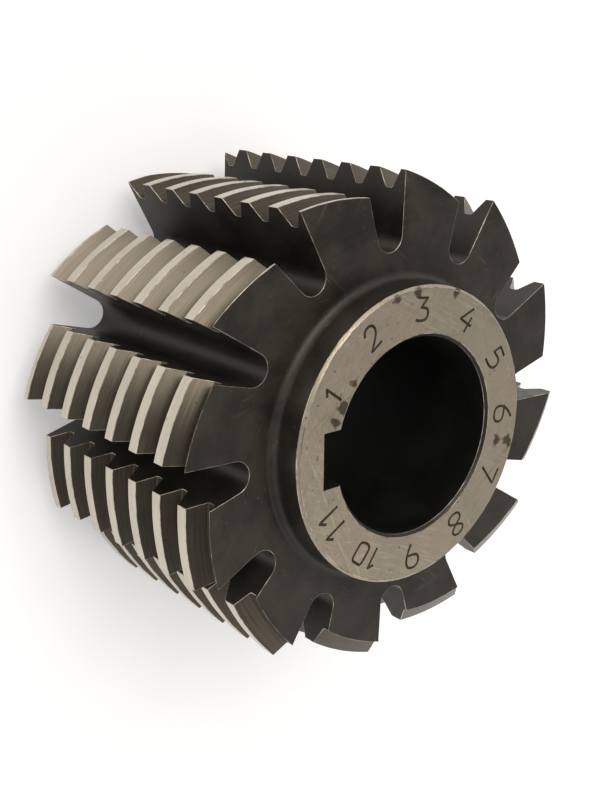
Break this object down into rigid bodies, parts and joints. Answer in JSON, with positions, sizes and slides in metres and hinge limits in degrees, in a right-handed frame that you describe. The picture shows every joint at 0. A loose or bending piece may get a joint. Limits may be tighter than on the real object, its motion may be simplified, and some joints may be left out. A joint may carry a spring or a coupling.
{
  "type": "gear hob",
  "caption": "Hob for cutting involute teeth: a relieved single-start thread split into rows by straight gashes, on a keyed bore with a hub at each end.",
  "frame": {"origin": "centre of the bore on the bottom hub face, which the hob stands on", "axes": "+Z along the bore axis to the top hub face, +X through the keyway"},
  "size_m": [0.056, 0.056, 0.04],
  "materials": {
    "tool_steel": "ground teeth and hub faces over a dark oxide"
  },
  "bodies": {
    "root": {"gear_hob": "tool_steel"}
  },
  "joints": []
}
